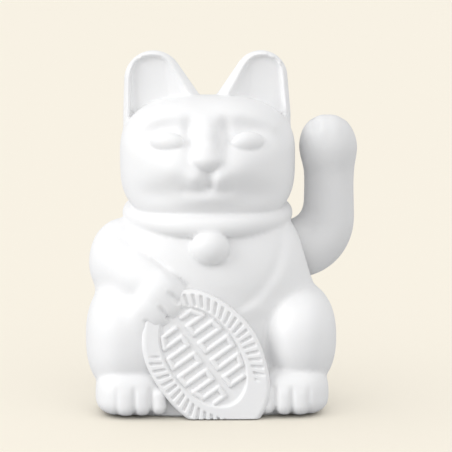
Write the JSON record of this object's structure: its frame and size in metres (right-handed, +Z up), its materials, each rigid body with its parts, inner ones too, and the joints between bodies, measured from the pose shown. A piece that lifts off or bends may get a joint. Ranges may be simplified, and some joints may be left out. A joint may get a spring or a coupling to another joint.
{
  "type": "beckoning cat figurine",
  "caption": "Hollow seated cat figurine holding an oval coin; its raised arm waves on an internal magnet-driven pendulum, above a screwed base with a battery bay.",
  "frame": {"origin": "centre of the base plate's underside, on the surface that the figurine stands on", "axes": "+Z up; the cat faces -Y; +X towards its raised arm"},
  "size_m": [0.1156, 0.0859, 0.1502],
  "materials": {
    "white_plastic": "satin",
    "arm_plastic": "satin",
    "base_plastic": "matte",
    "screw_steel": "satin",
    "battery_wrap": "gloss",
    "spring_steel": "polished",
    "board_laminate": "satin",
    "chip_resin": "gloss",
    "capacitor_sleeve": "gloss",
    "resistor_body": "satin",
    "bobbin_plastic": "satin",
    "winding_copper": "satin",
    "switch_case": "matte",
    "switch_slider": "matte",
    "lead_red": "satin",
    "lead_black": "satin",
    "lead_yellow": "satin",
    "frame_plastic": "satin",
    "shaft_steel": "polished",
    "lever_plastic": "satin",
    "magnet_nickel": "polished",
    "weight_steel": "satin"
  },
  "bodies": {
    "body": {"front_shell": "white_plastic", "rear_shell": "white_plastic", "base_plate": "base_plastic", "base_screws": "screw_steel", "battery": "battery_wrap", "negative_spring": "spring_steel", "positive_contact": "spring_steel", "circuit_board": "board_laminate", "board_screws": "screw_steel", "coil_bobbin": "bobbin_plastic", "drive_coil": "winding_copper", "driver_chip": "chip_resin", "capacitor": "capacitor_sleeve", "resistors": "resistor_body", "switch_body": "switch_case", "lead_positive": "lead_red", "lead_negative": "lead_black", "lead_switch": "lead_yellow", "mechanism_frame": "frame_plastic", "frame_screws": "screw_steel"},
    "waving_arm": {"pivot_shaft": "shaft_steel", "shaft_clips": "spring_steel", "pendulum_lever": "lever_plastic", "drive_magnet": "magnet_nickel", "balance_weight": "weight_steel", "arm_hub": "arm_plastic", "arm_front_shell": "arm_plastic", "arm_rear_shell": "arm_plastic"},
    "door": {"battery_door": "base_plastic"},
    "switch": {"switch_knob": "switch_slider"}
  },
  "joints": [
    {"name": "arm_swing", "type": "hinge", "parent": "body", "child": "waving_arm", "pos_m": [0.045, 0.002, 0.065], "axis": [1, 0, 0], "range_deg": [-22, 22]},
    {"name": "door_hinge", "type": "hinge", "parent": "body", "child": "door", "pos_m": [0, 0.0259, 0.0012], "axis": [1, 0, 0], "range_deg": [0, 60]},
    {"name": "switch_slide", "type": "slide", "parent": "body", "child": "switch", "axis": [1, 0, 0], "range_m": [0, 0.003]}
  ]
}
